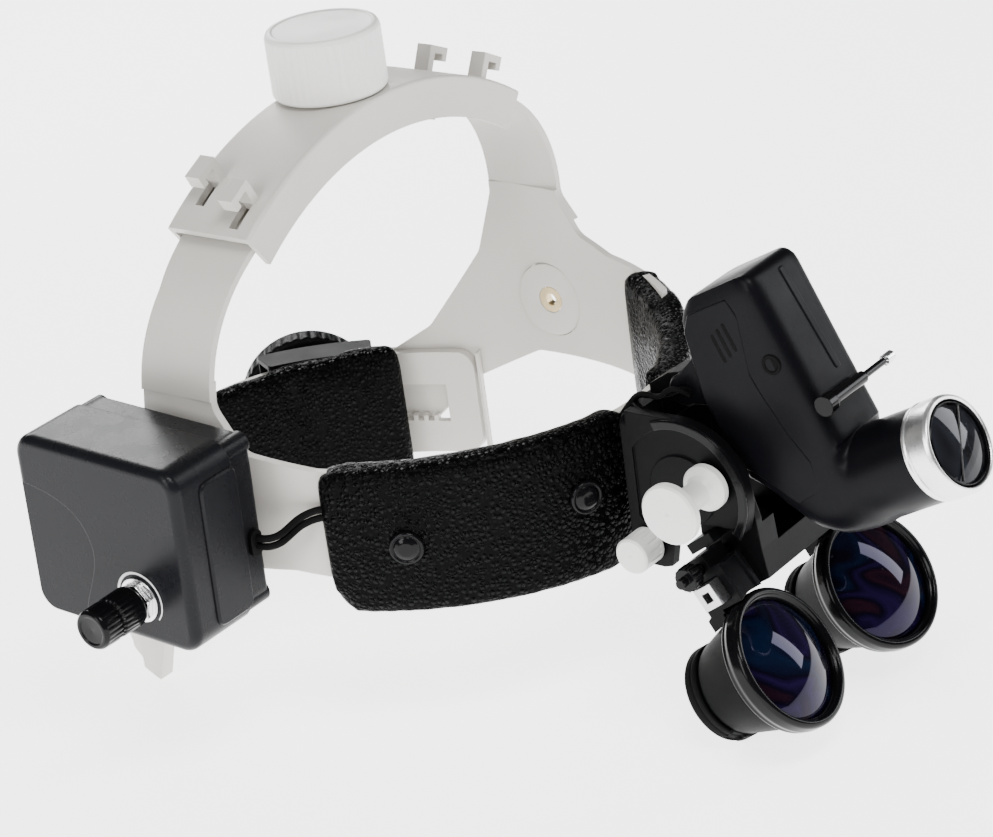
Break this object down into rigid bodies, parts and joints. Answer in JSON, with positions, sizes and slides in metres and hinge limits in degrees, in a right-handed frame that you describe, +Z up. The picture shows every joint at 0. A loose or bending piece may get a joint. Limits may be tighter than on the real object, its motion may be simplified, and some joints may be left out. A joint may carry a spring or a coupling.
{
  "type": "dental loupes",
  "caption": "Dental loupes and LED headlight on an adjustable headband with a battery case, knob-driven straps, tilting light and sliding loupes.",
  "frame": {"origin": "on the surface that the loupes stand on, below the point midway between the temple hubs", "axes": "+Z up, +X towards the wearer's left, +Y towards the back of the head, so the loupes look along -Y"},
  "size_m": [0.2298, 0.3258, 0.1964],
  "materials": {
    "band_plastic": "satin warm white",
    "knob_plastic": "satin warm white",
    "leatherette": "black, fine grain",
    "black_metal": "gloss black",
    "bracket_plastic": "satin black",
    "light_housing": "satin black",
    "barrel_metal": "satin dark grey coating",
    "bezel_metal": "gloss black coating",
    "coated_glass": "violet coating",
    "light_glass": "dark tint",
    "steel": "machined",
    "bright_metal": "bright",
    "brass": "machined",
    "soft_rubber": "matt black",
    "case_plastic": "satin charcoal",
    "black_plastic": "semi gloss black",
    "cell_sleeve": "blue sleeve",
    "circuit_board": "green lacquer",
    "lead_sheath": "black sheath",
    "led_chip": "yellow phosphor",
    "heat_sink_metal": "bare"
  },
  "bodies": {
    "headband": {"side_frame_left": "band_plastic", "side_frame_right": "band_plastic", "front_band": "band_plastic", "top_bridge": "band_plastic", "hub_caps": "brass", "band_rivets": "steel", "front_pad_right": "leatherette", "front_pad_left": "leatherette", "pad_snaps": "black_metal", "rear_housing": "black_plastic", "rear_pad": "leatherette", "battery_cover": "case_plastic", "battery_base": "case_plastic", "case_screws": "steel", "charging_socket": "black_plastic", "battery_cells": "cell_sleeve", "charge_board": "circuit_board", "dimmer_pot": "steel", "dimmer_nut": "bright_metal", "case_clip": "case_plastic", "power_lead": "lead_sheath", "lead_grommet": "soft_rubber", "front_bracket": "bracket_plastic", "bracket_screws": "steel", "clamp_bolt": "steel"},
    "top_knob": {"top_knob": "knob_plastic", "top_pinion": "band_plastic"},
    "rear_knob": {"rear_knob": "black_plastic", "rear_pinion": "steel"},
    "dimmer": {"dimmer_knob": "black_plastic"},
    "headlight": {"headlight_shell_right": "light_housing", "headlight_shell_left": "light_housing", "shell_screw": "steel", "tilt_pin": "steel", "led_emitter": "led_chip", "heat_sink": "heat_sink_metal", "driver_board": "circuit_board", "filter_lever": "black_plastic", "lever_tip": "bright_metal"},
    "focus_ring": {"focus_ring": "bright_metal"},
    "light_lens": {"lens_cell": "black_plastic", "light_lens": "light_glass"},
    "loupe_arm": {"loupe_arm": "bracket_plastic", "slide_rail": "steel", "hinge_stubs": "steel", "flip_knob": "knob_plastic"},
    "clamp_knob": {"clamp_knob": "knob_plastic"},
    "gap_screw": {"gap_screw": "black_plastic"},
    "loupe_left": {"loupe_barrel_left": "barrel_metal", "loupe_bezel_left": "bezel_metal", "objective_lens_left": "coated_glass", "eyepiece_ring_left": "soft_rubber", "eyepiece_lens_left": "coated_glass", "carriage_left": "bracket_plastic"},
    "loupe_right": {"loupe_barrel_right": "barrel_metal", "loupe_bezel_right": "bezel_metal", "objective_lens_right": "coated_glass", "eyepiece_ring_right": "soft_rubber", "eyepiece_lens_right": "coated_glass", "carriage_right": "bracket_plastic"}
  },
  "joints": [
    {"name": "top_knob_turn", "type": "hinge", "parent": "headband", "child": "top_knob", "pos_m": [0, 0.01, 0.1749], "axis": [0, 0, 1], "range_deg": [-180, 180]},
    {"name": "rear_knob_turn", "type": "hinge", "parent": "headband", "child": "rear_knob", "pos_m": [0.05399, 0.0909, 0.0299], "axis": [0.7171, 0.697, 0], "range_deg": [-180, 180]},
    {"name": "dimmer_turn", "type": "hinge", "parent": "headband", "child": "dimmer", "pos_m": [-0.1238, 0.00113, 0.06242], "axis": [-1, 0, 0], "range_deg": [0, 300]},
    {"name": "headlight_tilt", "type": "hinge", "parent": "headband", "child": "headlight", "pos_m": [0, -0.116, 0.0989], "axis": [-1, 0, 0], "range_deg": [-4, 15]},
    {"name": "focus_turn", "type": "hinge", "parent": "headlight", "child": "focus_ring", "pos_m": [0.0003, -0.2002, 0.093], "axis": [0, -0.887, 0.4617], "range_deg": [0, 180]},
    {"name": "focus_slide", "type": "slide", "parent": "headlight", "child": "light_lens", "axis": [0, -0.887, 0.4617], "range_m": [-0.0016, 0]},
    {"name": "loupe_flip", "type": "hinge", "parent": "headband", "child": "loupe_arm", "pos_m": [0, -0.131, 0.0775], "axis": [-1, 0, 0], "range_deg": [-8, 4]},
    {"name": "clamp_turn", "type": "hinge", "parent": "headband", "child": "clamp_knob", "pos_m": [0, -0.1075, 0.0539], "axis": [-1, 0, 0], "range_deg": [-90, 90]},
    {"name": "gap_slide_left", "type": "slide", "parent": "loupe_arm", "child": "loupe_left", "axis": [1, 0, 0], "range_m": [-0.003, 0.003]},
    {"name": "gap_slide_right", "type": "slide", "parent": "loupe_arm", "child": "loupe_right", "axis": [1, 0, 0], "range_m": [-0.003, 0.003]},
    {"name": "gap_turn", "type": "hinge", "parent": "loupe_arm", "child": "gap_screw", "pos_m": [0, -0.13101, 0.0545], "axis": [1, 0, 0], "range_deg": [-540, 540]}
  ],
  "couplings": [
    {"joint": "focus_slide", "follows": "focus_turn", "m_per_rad": -0.00050924},
    {"joint": "gap_turn", "follows": "gap_slide_left", "rad_per_m": 3141.3},
    {"joint": "gap_slide_right", "follows": "gap_slide_left", "ratio": -1}
  ]
}
